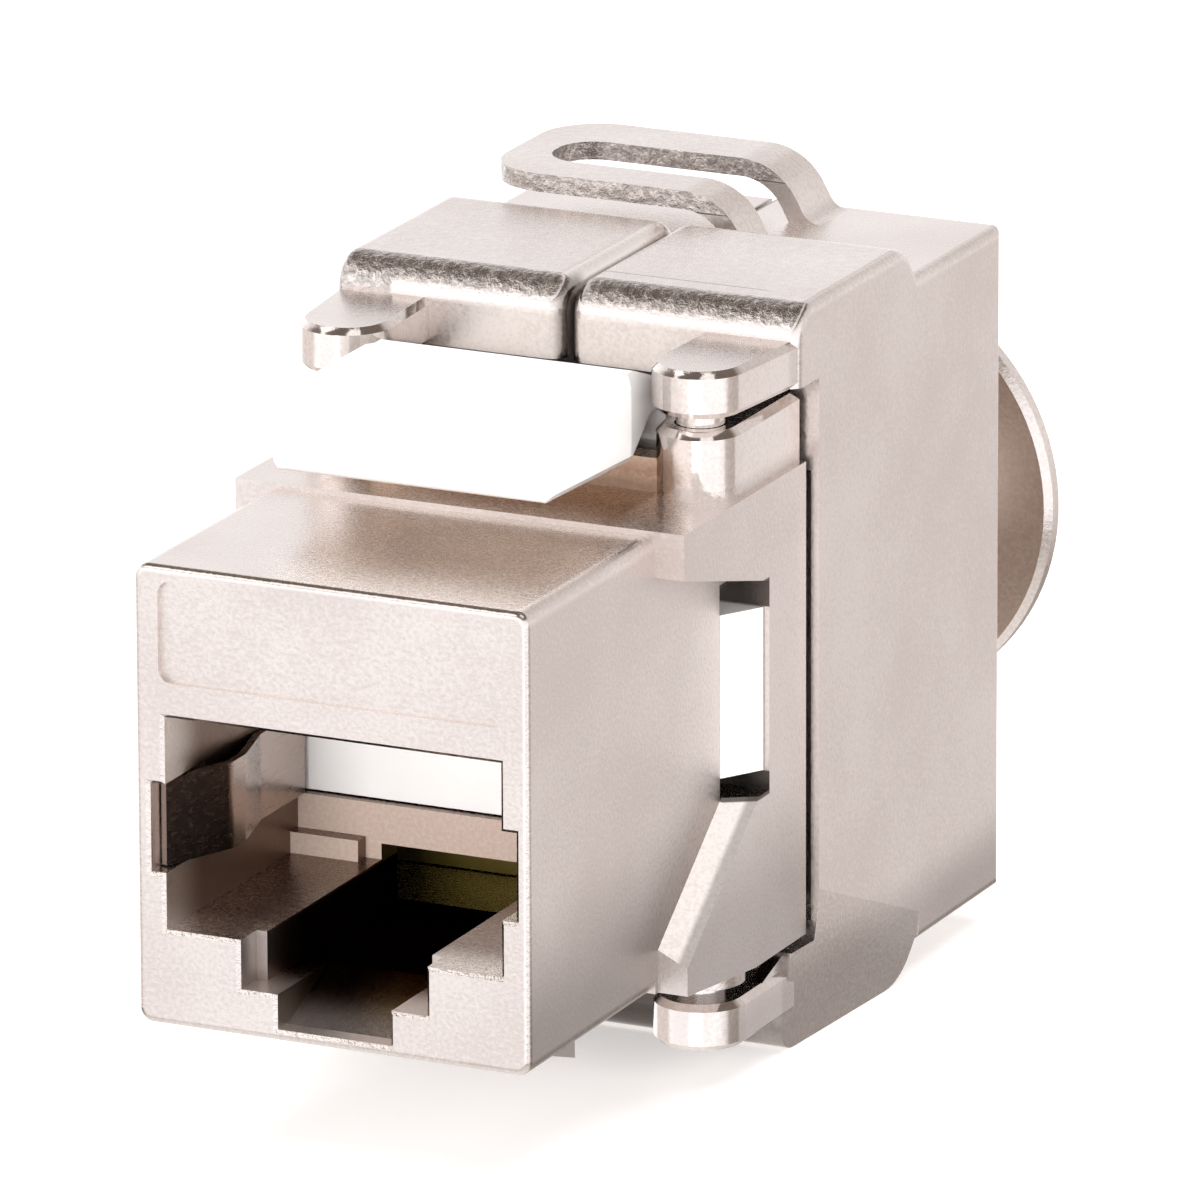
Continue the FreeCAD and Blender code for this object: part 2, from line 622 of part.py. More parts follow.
# Panel latch
def panel_latch():
    """Sprung tongue: a steep front, a flat top that falls off behind and a tail that turns on two stubs."""
    half = LATCH_WIDTH / 2
    neck_half = LATCH_NECK_WIDTH / 2
    side = along_x([
        (LATCH_FRONT, LATCH_FRONT_LOW, LATCH_FRONT_ROUND), (LATCH_TOP_FRONT, LATCH_TOP, LATCH_TOP_ROUND),
        (LATCH_TOP_REAR, LATCH_TOP), (LATCH_REAR, LATCH_REAR_HIGH),
        (LATCH_REAR, LATCH_TAIL_LOW, LATCH_ROUND),
        (LATCH_ARCH_REAR, LATCH_TAIL_LOW, LATCH_ROUND), (LATCH_ARCH_REAR, LATCH_ARCH_TOP, LATCH_ROUND),
        (LATCH_ARCH_FRONT, LATCH_ARCH_TOP, LATCH_ROUND), (LATCH_HEEL, LATCH_HEEL_LOW)], -half, half)
    side = side.makeChamfer(LATCH_EDGE, edges_where(
        side, lambda b: b.XLength < TINY and b.YMin < LATCH_HEEL - TINY and b.YMax < LATCH_REAR + TINY
        and not (b.ZMin < LATCH_ARCH_TOP and b.YMax > LATCH_HEEL + TINY)))
    right = [(half, LATCH_TAPER_FRONT), (neck_half, LATCH_TAPER_REAR), (neck_half, BIG)]
    left = [(-x, y) for x, y in reversed(right)]
    front = [(-half, LATCH_FRONT, LATCH_CORNER), (half, LATCH_FRONT, LATCH_CORNER)]
    plan = along_z(right + left + front, 0, BIG)
    hollow_half = neck_half - LATCH_WALL
    hollow_front = LATCH_FRONT + 2 * LATCH_WALL
    hollow_top = LATCH_TOP - LATCH_WALL
    hollow = along_x([(hollow_front, 0), (hollow_front, LATCH_FRONT_LOW + LATCH_WALL),
                      (LATCH_TOP_FRONT + 2 * LATCH_WALL, hollow_top),
                      (LATCH_TOP_REAR, hollow_top), (LATCH_TOP_REAR, 0)], -hollow_half, hollow_half)
    stub_half = HINGE_X - POST_RADIUS + LATCH_STUB_ENGAGEMENT
    stub = Part.makeCylinder(LATCH_STUB_RADIUS, 2 * stub_half,
                             Vector(-stub_half, LATCH_PIVOT_Y, LATCH_PIVOT_Z), Vector(1, 0, 0))
    return side.common(plan).cut(hollow).fuse(stub).removeSplitter()


# Contact insert, plug contacts and shield springs
def contact_places():
    middle = (CONTACT_COUNT - 1) / 2
    return [(i - middle) * CONTACT_PITCH for i in range(CONTACT_COUNT)]


def contact(x):
    """Spring contact: a pin through the board, a run under the tongue and a tip bent back under it."""
    centre = CONTACT_TOP - CONTACT_THICKNESS
    corners = [(BOARD_REAR + PIN_REACH, centre), (CONTACT_FRONT, centre, CONTACT_BEND),
               (CONTACT_FRONT, centre - CONTACT_NOSE, CONTACT_BEND),
               (CONTACT_TIP_Y, centre - CONTACT_TIP_DROP)]
    path = bent_path(corners, lambda p: Vector(x - CONTACT_WIDTH / 2, p.x, p.y))
    return strip(path, CONTACT_THICKNESS, Vector(CONTACT_WIDTH, 0, 0))


def contact_slots(y0, y1):
    """Clearance slots for the contacts' straight runs."""
    half = CONTACT_WIDTH / 2 + FIT
    low = CONTACT_TOP - CONTACT_THICKNESS - FIT
    high = CONTACT_TOP + FIT
    return [box(x - half, x + half, y0, y1, low, high) for x in contact_places()]


def contact_insert():
    half = CAVITY_HALF - FIT
    nose_half = PORT_HALF - FIT
    low = BAR_HIGH + FIT
    body = box(-half, half, CAVITY_FRONT + FIT, BOARD_FRONT, low, CAVITY_TOP - FIT)
    nose = box(-nose_half, nose_half, PORT_DEPTH + INSERT_SETBACK, CAVITY_FRONT + OVERRUN,
               low, PORT_TOP - FIT)
    tongue = box(-TONGUE_WIDTH / 2, TONGUE_WIDTH / 2, TONGUE_FRONT, PORT_DEPTH + OVERRUN,
                 PORT_TOP - FIT - TONGUE_THICKNESS, PORT_TOP - FIT)
    ramp = [(half - OVERRUN, WINDOW_FRONT + FIT), (FACE_HALF, WINDOW_FRONT + FIT),
            (FACE_HALF + TAB_PROUD, WINDOW_REAR - FIT), (half - OVERRUN, WINDOW_REAR - FIT)]
    tab = along_z(ramp, TAB_LOW, TAB_LOW + TAB_HEIGHT)
    solid = body.fuse([nose, tongue] + both_sides(tab))
    pins = idc_rows()[0]
    relief_half = (IDC_ROW_COUNT - 1) / 2 * IDC_PITCH + BLADE_PIN_WIDTH
    relief = box(-relief_half, relief_half, BOARD_FRONT - PIN_REACH - PIN_RELIEF_GAP, BOARD_FRONT + OVERRUN,
                 pins - BLADE_PIN_WIDTH, pins + BLADE_PIN_WIDTH)
    return solid.cut(contact_slots(PORT_DEPTH - OVERRUN, BOARD_REAR) + [relief]).removeSplitter()


def shield_spring():
    """Right leaf spring: flat on the port's wall, bowed inwards, with its tip turned out into the notch."""
    wall = PORT_HALF - FIT
    bow = wall - LEAF_BOW
    tip = PORT_HALF + SPRING_NOTCH_DEPTH - FIT
    middle = (SPRING_NOTCH_LOW + SPRING_NOTCH_HIGH) / 2
    corners = [(wall, PORT_DEPTH - FIT), (wall, LEAF_FLAT_FRONT, LEAF_BEND), (bow, LEAF_BOW_REAR, LEAF_BEND),
               (bow, LEAF_BOW_FRONT, LEAF_BEND), (tip, LEAF_TIP_Y)]
    path = bent_path(corners, lambda p: Vector(p.x, p.y, middle - LEAF_HEIGHT / 2))
    return strip(path, LEAF_THICKNESS, Vector(0, 0, LEAF_HEIGHT))


# Circuit board, wire contacts and wire cap
def idc_places():
    """Places (x, z) of the wire contacts, the upper row first."""
    row = [(i - (IDC_ROW_COUNT - 1) / 2) * IDC_PITCH for i in range(IDC_ROW_COUNT)]
    return [(x, z) for z in idc_rows() for x in row]


def idc_rows():
    upper = CAVITY_TOP - FIT - IDC_BLOCK_HEIGHT / 2
    lower = FLOOR_WALL + FIT + IDC_BLOCK_HEIGHT / 2
    return [upper, lower]


def circuit_board():
    half = CAVITY_HALF - FIT
    board = box(-half, half, BOARD_FRONT, BOARD_REAR, FLOOR_WALL + FIT, CAVITY_TOP - FIT)
    hole = BLADE_PIN_WIDTH / 2 + FIT
    holes = [box(x - hole, x + hole, BOARD_FRONT - OVERRUN, BOARD_REAR + OVERRUN, z - hole, z + hole)
             for x, z in idc_places()]
    return board.cut(contact_slots(BOARD_FRONT - OVERRUN, BOARD_REAR + OVERRUN) + holes)


def idc_blade(x, z):
    """Forked blade with a slot that tapers in from its mouth and a pin through the board."""
    half = BLADE_WIDTH / 2
    pin = BLADE_PIN_WIDTH / 2
    slot = BLADE_SLOT / 2
    foot = BOARD_REAR + FIT
    floor = BLADE_END - BLADE_SLOT_DEPTH
    mouth = half - slot
    right = [(pin, BOARD_FRONT - PIN_REACH), (pin, foot), (half, foot), (half, BLADE_END), (mouth, BLADE_END),
             (slot, BLADE_END - mouth), (slot, floor)]
    left = [(-u, v) for u, v in reversed(right)]
    corners = [(x + u, v) for u, v in right + left]
    return along_z(corners, z - BLADE_THICKNESS / 2, z + BLADE_THICKNESS / 2)


def idc_block(z):
    half = CAVITY_HALF - FIT
    tall = IDC_BLOCK_HEIGHT / 2
    solid = box(-half, half, BOARD_REAR, TOWER_FOOT, z - tall, z + tall)
    pocket_half = BLADE_WIDTH / 2 + FIT
    pocket_tall = BLADE_THICKNESS / 2 + FIT
    towers = []
    cuts = contact_slots(BOARD_REAR - OVERRUN, BOARD_REAR + PIN_REACH + FIT)
    for x, row in idc_places():
        if row != z:
            continue
        tower_half = IDC_TOWER_WIDTH / 2
        towers.append(box(x - tower_half, x + tower_half, BOARD_REAR, TOWER_END, z - tall, z + tall))
        cuts.append(box(x - pocket_half, x + pocket_half, BOARD_REAR - OVERRUN, BLADE_END + FIT,
                        z - pocket_tall, z + pocket_tall))
        slot_half = IDC_WIRE_SLOT / 2
        cuts.append(box(x - slot_half, x + slot_half, TOWER_END - IDC_SLOT_DEPTH, TOWER_END + OVERRUN,
                        z - tall - OVERRUN, z + tall + OVERRUN))
    return solid.fuse(towers).cut(cuts).removeSplitter()


def wire_cap():
    """Wire manager: rounded block with the cable's hole, wire grooves and ribs that press the wires home."""
    low = DOOR_MIDDLE - CAP_HALF_HEIGHT
    high = DOOR_MIDDLE + CAP_HALF_HEIGHT
    corners = [(-CAP_HALF_WIDTH, low, CAP_CORNER), (CAP_HALF_WIDTH, low, CAP_CORNER),
               (CAP_HALF_WIDTH, high, CAP_CORNER), (-CAP_HALF_WIDTH, high, CAP_CORNER)]
    solid = along_y(corners, TOWER_END, CAP_REAR)
    cuts = [rod(CAP_BORE_RADIUS, TOWER_END - OVERRUN, BIG)]
    ribs = []
    rib_half = IDC_WIRE_SLOT / 2 - CAP_RIB_CLEARANCE
    for x, z in idc_places():
        side = 1 if z > DOOR_MIDDLE else -1
        end = DOOR_MIDDLE + side * CAP_HALF_HEIGHT
        cuts.append(box(x - CAP_GROOVE_WIDTH / 2, x + CAP_GROOVE_WIDTH / 2, TOWER_END - OVERRUN, BIG,
                        end - CAP_GROOVE_DEPTH, end + CAP_GROOVE_DEPTH))
        near = z + side * (BLADE_THICKNESS / 2 + 2 * CAP_RIB_CLEARANCE)
        far = z + side * IDC_BLOCK_HEIGHT / 2
        ribs.append(box(x - rib_half, x + rib_half, TOWER_END - CAP_RIB_LENGTH, TOWER_END,
                        min(near, far), max(near, far)))
    return solid.cut(cuts).fuse(ribs).removeSplitter()


# Export
def save(name, shape):
    shape = shape.copy()
    shape.translate(Vector(0, 0, -FACE_HEIGHT / 2))
    shape.exportStep(f"parts/{name}.step")


def main():
    os.makedirs("parts", exist_ok=True)
    right = door()
    save("front_housing", front_housing())
    save("left_door", other_side(right))
    save("right_door", right.fuse(loop()).removeSplitter())
    save("panel_latch", panel_latch())
    save("contact_insert", contact_insert())
    save("shield_spring_right", shield_spring())
    save("shield_spring_left", other_side(shield_spring()))
    save("circuit_board", circuit_board())
    for name, z in zip(("upper", "lower"), idc_rows()):
        save(f"idc_block_{name}", idc_block(z))
    for number, x in enumerate(contact_places(), 1):
        save(f"contact_{number}", contact(x))
    for number, (x, z) in enumerate(idc_places(), 1):
        save(f"idc_blade_{number}", idc_blade(x, z))
    save("wire_cap", wire_cap())


main()
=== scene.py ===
import math

import bpy
from mathutils import Matrix, Vector


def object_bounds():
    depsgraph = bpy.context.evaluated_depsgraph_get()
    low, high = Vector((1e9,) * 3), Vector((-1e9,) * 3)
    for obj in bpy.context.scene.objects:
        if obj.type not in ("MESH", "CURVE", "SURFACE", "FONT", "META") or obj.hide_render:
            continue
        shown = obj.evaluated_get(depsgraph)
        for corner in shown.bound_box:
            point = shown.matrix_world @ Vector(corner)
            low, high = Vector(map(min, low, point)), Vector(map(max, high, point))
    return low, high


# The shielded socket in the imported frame: procedural finishes, a soft studio and the photograph's camera.
# Lengths are in metres, in the part's own frame, and angles in degrees. A span is the pair of values between
# which a finish changes: places, cosines of a face's turn or levels of a noise. A darkness is a share of shade.

# Camera
AZIMUTH = 25.259
ELEVATION = 16.668
ROLL = -0.208
DISTANCE = 0.5
TARGET = Vector((0.00279, 0.0150, 0.00386))
FOCAL_PIXELS = 14789.84
IMAGE_PIXELS = 1200
SENSOR_MM = 36.0
CLIP_START = 0.01

# Colours
WHITE = (1.0, 1.0, 1.0)
ZINC_LIGHT = (0.86, 0.80, 0.77)
ZINC_DARK = (0.74, 0.675, 0.64)
# ZINC_SHADE, PORT_SHADE, CHANNEL_SHADE, DECK_SHADE and FLANGE_SHADE are painted shade; ZINC_SHADE also darkens
# the doors' cast pits and parting line
ZINC_SHADE = (0.060, 0.047, 0.040)
PORT_SHADE = (0.165, 0.100, 0.066)
CHANNEL_SHADE = (0.034, 0.015, 0.010)
BARE_CASTING = (0.56, 0.44, 0.37)
DECK_SHADE = (0.70, 0.58, 0.48)
FLANGE_SHADE = (0.80, 0.73, 0.66)
# a painted highlight on the left roof's edge along the seam
PAINTED_EDGE_HIGHLIGHT = (1.0, 0.95, 0.92)
WHITE_PLASTIC = (0.88, 0.88, 0.88)
LATCH_PLASTIC = (0.83, 0.82, 0.81)
TERMINAL_PLASTIC = (0.80, 0.81, 0.78)
SOLDER_MASK = (0.104, 0.080, 0.018)
GOLD = (0.86, 0.66, 0.30)
TIN = (0.74, 0.72, 0.69)
SPRING_STEEL = (0.42, 0.34, 0.30)

# Nickel plate; each noise is a scale, a detail and a roughness
FULL_SPAN = (0.0, 1.0)
GRAIN_NOISE = (6500.0, 3.0, 0.6)
GRAIN_SPAN = (0.3, 0.7)
GRAIN_SHARE = 0.6
GRAIN_DEPTH = 0.000010
DRIFT_NOISE = (180.0, 3.0, 0.5)
TONE_SPAN = (0.38, 0.62)
SATIN_ROUGHNESS = (0.34, 0.44)
LEAST_ROUGHNESS = 0.10
DECK_TURN = (0.9, 0.99)
DECK_GLOSS = 0.12
POLISH_TURN = (0.93, 0.995)
POLISH_GLOSS = 0.24
HINGE_GLOSS = 0.20
HINGE_GRAIN = 0.08
LEVEL_TURN = (0.9, 0.98)
SIDE_TURN = (0.7, 0.9)
SOFT_EDGE = 0.00005

# Plug port: its room, the painted shade on its walls and in its channel, and the bare metal of the bar and the
# notches
PORT_HALF = 0.0068
PORT_LOW = -0.0077
PORT_HIGH = 0.0028
PORT_REAR = 0.0114
PORT_FADE = (0.0002, 0.0030)
PORT_DARKNESS = 0.92
CHANNEL_TOP = (-0.0048, -0.0047)
CHANNEL_FADE = (0.0009, 0.0045)
BAR_TURN = (-0.9, -0.5)
BAR_FRONT = (0.0080, 0.0085)
NOTCH_TURN = (0.7, 0.85)
NOTCH_TOP = (-0.0064, -0.0062)
NOTCH_FADE = (0.0012, 0.0032)
NOTCH_BARE = 0.20
BARE_GRAIN_SPAN = (0.3, 0.6)
BARE_COVER = (0.75, 1.0)
BARE_ROUGHNESS = 0.3
BARE_METALLIC = 0.15

# Housing's sides, windows, ridges and deck, with painted shade on them
SIDE_FADE = (-0.0070, -0.0015)
SIDE_DARKNESS = 0.50
CHEEK_SPAN = (0.0076, 0.0080)
CHEEK_SHARE = 0.72
WINDOW_FRONT = 0.0150
WINDOW_REAR = 0.0166
WINDOW_LOW = -0.0027
WINDOW_HIGH = 0.0049
WINDOW_DARKNESS = 0.90
TAB_LOW = -0.0019
TAB_HIGH = 0.00385
RIDGE_NORMAL = (0.36, -0.57, 0.74)
RIDGE_TURN = (0.97, 0.99)
RIDGE_OUTER = (0.00790, 0.00812)
RIDGE_DARKNESS = 0.5
POST_FOOT = (0.0084, 0.0090)
LATCH_SHADOW_DEPTH = (0.0095, 0.0125)
LATCH_SHADOW_SIDE = (0.0053, 0.0056)
LATCH_SHADOW_FOOT = (0.0070, 0.0078)

# Doors' rough bands
BAND_NORMAL = (0.0, -0.56, 0.83)
BAND_TURN = (0.80, 0.91)
BAND_FOOT = (0.0126, 0.0130)
CORNER_NORMAL = (0.0, -0.9, 0.43)
CORNER_TURN = (0.75, 0.85)
CORNER_END = (-0.0067, -0.0065)
LOOP_FOOT = (0.01395, 0.0140)
LOOP_SIDE_TURN = (0.3, 0.8)
CAST_NOISE = (3200.0, 4.0, 0.65)
CAST_DEPTH = 0.00009
PIT_SPAN = (0.44, 0.62)
PIT_DARKNESS = 0.38

# Doors' ears, sides, seam, roofs and flange, with their painted shade and the seam edge's painted highlight
EAR_END = (0.0176, 0.0180)
DOOR_FADE = (-0.0105, -0.0082)
DOOR_DARKNESS = 0.36
SEAM_LINE = (0.00008, 0.00022)
SEAM_FLARE = (0.00015, 0.00055)
SEAM_FRONT = (0.0195, 0.0205)
SEAM_DARKNESS = 0.7
MEETING_TURN = (0.93, 0.99)
ROOF_FOOT = (0.0115, 0.0116)
EDGE_NORMAL = (0.707, 0.0, 0.707)
EDGE_TURN = (0.75, 0.93)
EDGE_WIDTH = 0.0009
PARTING_PLACE = 0.0202
PARTING_HALF = 0.00003
PARTING_SOFT = 0.00004
PARTING_END = 0.0064
PARTING_END_SOFT = 0.0006
PARTING_DARKNESS = 0.45
UNDER_BLOCK = (-0.0085, -0.0080)
UNDER_FRONT = 0.0181
UNDER_REAR = 0.0205
UNDER_TURN = (-0.6, -0.4)
UNDER_SIDE = (0.0058, 0.0075)
UNDER_DARKNESS = (0.93, 0.60)
LOW_EAR_END = (0.0180, 0.0181)
LOW_EAR_TURN = (0.8, 0.95)
LOW_EAR_DARKNESS = 0.7
FLANGE_FRONT = (0.0395, 0.0398)
FLANGE_TURN = (-0.95, -0.85)

# Plastics
RIPPLE_SCALE = 900.0
RIPPLE_DEPTH = 0.000004
RIPPLE_SHADE = 0.965
PORE_SCALE = 9000.0
PORE_SPAN = (0.3, 0.7)
PORE_ROUGHNESS = (-0.03, 0.05)
SUBSURFACE_WEIGHT = 0.08
SUBSURFACE_RADIUS = (0.0006, 0.0005, 0.0004)
GLOSSY_PLASTIC = 0.16
DULL_PLASTIC = 0.38

# Rolled metal: how rough each is, and how its lines are scaled on each axis
GOLD_ROLLING = (0.14, (9000.0, 900.0, 9000.0))
TIN_ROLLING = (0.28, (7000.0, 700.0, 7000.0))
STEEL_ROLLING = (0.22, (9000.0, 700.0, 9000.0))
LINE_DETAIL = 3.0
LINE_SPAN = (0.3, 0.7)
LINE_ROUGHNESS = 0.06
LINE_DEPTH = 0.000001
LINE_SHADE = 0.9

# Board
WEAVE_SCALE = 900.0
WEAVE_DISTORTION = 1.5
WEAVE_ROUGHNESS = (0.30, 0.42)
WEAVE_DEPTH = 0.000004
MOTTLE_SCALE = 1400.0
MOTTLE_DETAIL = 3.0
MOTTLE_LIGHT = 1.5

# Floor
FLOOR_SIZE = 6.0
FLOOR_COLOUR = (0.93, 0.93, 0.93)
FLOOR_SHADE = 0.985
FLOOR_ROUGHNESS = 0.9
FLOOR_GLOW = 0.30
FLOOR_GAP = 0.00001
FIBRE_SCALE = 300.0

# Surroundings: the height of a direction, from -1 to 1, with the colour there
SURROUNDINGS = [
    (-1.00, (0.75, 0.720, 0.700)),
    (-0.60, (0.60, 0.570, 0.550)),
    (-0.43, (0.36, 0.330, 0.310)),
    (-0.31, (1.00, 0.990, 1.010)),
    (-0.10, (1.04, 1.030, 1.040)),
    (0.35, (0.88, 0.875, 0.890)),
    (0.52, (0.70, 0.670, 0.650)),
    (0.66, (0.18, 0.150, 0.130)),
    (1.00, (0.12, 0.098, 0.085)),
]
SURROUNDINGS_STRENGTH = 1.37

# Sides of the surroundings: a direction, the cosines where its tint starts and is full, and the tint
SIDES = [
    ((0.55, 0.83, -0.10), (0.20, 0.95), (0.69, 0.66, 0.64)),
    ((0.91, 0.29, -0.29), (0.93, 0.98), (0.62, 0.59, 0.56)),
    ((0.18, -0.94, -0.29), (0.955, 0.985), (1.55, 1.55, 1.55)),
    ((-0.95, -0.10, -0.29), (0.86, 0.96), (0.66, 0.62, 0.58)),
]

# Softboxes: name, place, size, watts, colour and whether the metal shows it
SOFTBOXES = [
    ("overhead", (0.0, 0.0, 0.9), (1.2, 1.2), 10.5, WHITE, False),
    ("front", (0.05, -1.0, 0.12), (0.6, 0.4), 9.5, (1.0, 0.96, 0.94), False),
    ("right", (0.9, -0.35, 0.40), (0.5, 0.5), 2.0, WHITE, False),
    ("upper_right", (0.28, -0.14, 0.95), (0.34, 0.34), 0.38, WHITE, True),
    ("front_panel", (-0.42, -0.85, 0.30), (0.9, 0.36), 0.6, WHITE, True),
    ("front_high", (-0.44, -0.48, 0.76), (0.6, 0.40), 0.95, WHITE, True),
]

# Light that the deck throws back under the latch
DECK_GLOW = Vector((0.0, 0.0095, 0.00835))
DECK_GLOW_SIZE = (0.010, 0.006)
DECK_GLOW_WATTS = 0.0001
DECK_TINT = (1.0, 0.72, 0.54)
UP = Vector((0.0, 0.0, 1.0))

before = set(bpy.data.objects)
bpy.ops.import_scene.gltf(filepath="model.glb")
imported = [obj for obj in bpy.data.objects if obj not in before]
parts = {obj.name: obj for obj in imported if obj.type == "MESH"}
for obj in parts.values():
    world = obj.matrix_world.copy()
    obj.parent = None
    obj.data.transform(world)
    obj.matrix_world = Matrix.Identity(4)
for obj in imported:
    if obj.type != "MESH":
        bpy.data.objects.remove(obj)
cad_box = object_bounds()


# Node helpers
def feed(tree, socket, value):
    """Link the value into an input if it is a socket, or else set it."""
    if isinstance(value, bpy.types.NodeSocket):
        tree.links.new(value, socket)
    else:
        socket.default_value = value


def node(tree, kind, inputs=None, **settings):
    """New node with its settings and inputs."""
    made = tree.nodes.new(kind)
    for key, value in settings.items():
        setattr(made, key, value)
    for key, value in (inputs or {}).items():
        feed(tree, made.inputs[key], value)
    return made


def calc(tree, operation, *values):
    return node(tree, "ShaderNodeMath", dict(enumerate(values)), operation=operation).outputs[0]


def product(tree, *values):
    result = values[0]
    for value in values[1:]:
        result = calc(tree, "MULTIPLY", result, value)
    return result


def ease(tree, value, span, start, end):
    """Start below the span and end above it, with a smooth change between."""
    inputs = {"Value": value, "From Min": span[0], "From Max": span[1], "To Min": start, "To Max": end}
    return node(tree, "ShaderNodeMapRange", inputs, interpolation_type="SMOOTHSTEP").outputs["Result"]


def rise(tree, value, span, top=1.0):
    return ease(tree, value, span, 0.0, top)


def fall(tree, value, span, top=1.0):
    return ease(tree, value, span, top, 0.0)


def within(tree, value, low, high, soft=SOFT_EDGE):
    """One between low and high."""
    above = rise(tree, value, (low - soft, low))
    return calc(tree, "MULTIPLY", above, fall(tree, value, (high, high + soft)))


def split(tree, vector):
    return list(node(tree, "ShaderNodeSeparateXYZ", {0: vector}).outputs)


def dot(tree, vector, direction):
    made = node(tree, "ShaderNodeVectorMath", {0: vector, 1: direction}, operation="DOT_PRODUCT")
    return made.outputs["Value"]


def noise(tree, place, scale, detail=2.0, roughness=0.5):
    inputs = {"Vector": place, "Scale": scale, "Detail": detail, "Roughness": roughness}
    return node(tree, "ShaderNodeTexNoise", inputs).outputs["Fac"]


def blend(tree, factor, first, second, kind="MIX"):
    """Colour mix; first and second are colours or sockets."""
    mix = node(tree, "ShaderNodeMix", {"Factor": factor}, data_type="RGBA", blend_type=kind)
    for key, value in (("A", first), ("B", second)):
        socket = [s for s in mix.inputs if s.name == key and s.type == "RGBA"][0]
        feed(tree, socket, value if isinstance(value, bpy.types.NodeSocket) else (*value, 1.0))
    return [s for s in mix.outputs if s.type == "RGBA"][0]


def bump(tree, height, distance):
    return node(tree, "ShaderNodeBump", {"Height": height, "Distance": distance}).outputs[0]


def scaled(colour, share):
    return tuple(share * c for c in colour)


# Finishes
class Finish:
    """A new material with its tree, its shader and its object-space coordinates."""

    def __init__(self, name):
        self.material = bpy.data.materials.new(name)
        self.material.use_nodes = True
        self.tree = self.material.node_tree
        self.shader = self.tree.nodes["Principled BSDF"]
        self.coords = node(self.tree, "ShaderNodeTexCoord")
        self.place = self.coords.outputs["Object"]

    def set(self, key, value):
        feed(self.tree, self.shader.inputs[key], value)


class Plate(Finish):
    """A finish that knows where on the casting it is and how the face there is turned."""

    def __init__(self, name):
        super().__init__(name)
        self.normal = self.coords.outputs["Normal"]
        self.x, self.y, self.z = split(self.tree, self.place)
        self.turn_x, self.turn_y, self.turn_z = split(self.tree, self.normal)
        self.off_middle = calc(self.tree, "ABSOLUTE", self.x)
        self.sideways = calc(self.tree, "ABSOLUTE", self.turn_x)
        self.upright = calc(self.tree, "ABSOLUTE", self.turn_z)


def port_masks(plate):
    """Where painted shade darkens the plug port's walls and its channel, and where bare metal looks out."""
    tree = plate.tree
    inside = product(tree, within(tree, plate.x, -PORT_HALF, PORT_HALF),
                     within(tree, plate.z, PORT_LOW, PORT_HIGH), within(tree, plate.y, 0.0, PORT_REAR))
    bar = product(tree, inside, fall(tree, plate.turn_y, BAR_TURN), rise(tree, plate.y, BAR_FRONT))
    notch = product(tree, inside, rise(tree, plate.turn_z, NOTCH_TURN),
                    fall(tree, plate.z, NOTCH_TOP, NOTCH_BARE), fall(tree, plate.y, NOTCH_FADE))
    bare = calc(tree, "MAXIMUM", bar, notch)
    wall = calc(tree, "SUBTRACT", inside, bare)
    dark = calc(tree, "MULTIPLY", wall, rise(tree, plate.y, PORT_FADE, PORT_DARKNESS))
    channel = product(tree, wall, fall(tree, plate.z, CHANNEL_TOP), rise(tree, plate.y, CHANNEL_FADE))
    return dark, channel, bare


def window_shade(plate):
    """Painted shade: how dark the side windows' walls are above and below the insert's tab, and at their ends.
    """
    tree = plate.tree
    ends = rise(tree, plate.upright, SIDE_TURN)
    off_tab = calc(tree, "SUBTRACT", 1.0, within(tree, plate.z, TAB_LOW, TAB_HIGH))
    along = within(tree, plate.y, WINDOW_FRONT, WINDOW_REAR)
    room = within(tree, plate.z, WINDOW_LOW, WINDOW_HIGH)
    return product(tree, calc(tree, "MAXIMUM", ends, off_tab), along, room, WINDOW_DARKNESS)


def painted_side_shade(plate):
    """Painted shade: how far the housing's sides darken towards the table."""
    tree = plate.tree
    low = fall(tree, plate.z, SIDE_FADE, SIDE_DARKNESS)
    cheek = ease(tree, plate.off_middle, CHEEK_SPAN, 1.0, CHEEK_SHARE)
    return product(tree, rise(tree, plate.sideways, SIDE_TURN), low, cheek)


def ridge_mask(plate):
    """One on the cheeks' slanted ridges."""
    tree = plate.tree
    turn = {0: plate.sideways, 1: plate.turn_y, 2: plate.turn_z}
    mirrored = node(tree, "ShaderNodeCombineXYZ", turn).outputs[0]
    return rise(tree, dot(tree, mirrored, RIDGE_NORMAL), RIDGE_TURN)


def latch_shadow(plate):
    """How far the deck and the sill under the latch lie in its shade."""
    tree = plate.tree
    return product(tree, rise(tree, plate.y, LATCH_SHADOW_DEPTH),
                   fall(tree, plate.off_middle, LATCH_SHADOW_SIDE), rise(tree, plate.z, LATCH_SHADOW_FOOT))


def painted_door_shade(plate):
    """Painted shade: how far the doors' sides darken where they lean in."""
    tree = plate.tree
    low = fall(tree, plate.z, DOOR_FADE, DOOR_DARKNESS)
    return calc(tree, "MULTIPLY", rise(tree, plate.sideways, SIDE_TURN), low)


def seam_shade(plate):
    """Painted shade: how dark the edges of the seam between the doors are: a line along it that widens at the
    front.
    """
    tree = plate.tree
    line = fall(tree, plate.off_middle, SEAM_LINE, SEAM_DARKNESS)
    flare = calc(tree, "MULTIPLY", fall(tree, plate.off_middle, SEAM_FLARE, SEAM_DARKNESS),
                 fall(tree, plate.y, SEAM_FRONT))
    below_loop = fall(tree, plate.z, LOOP_FOOT)
    off_meeting_face = fall(tree, plate.sideways, MEETING_TURN)
    return product(tree, calc(tree, "MAXIMUM", line, flare), below_loop, off_meeting_face)


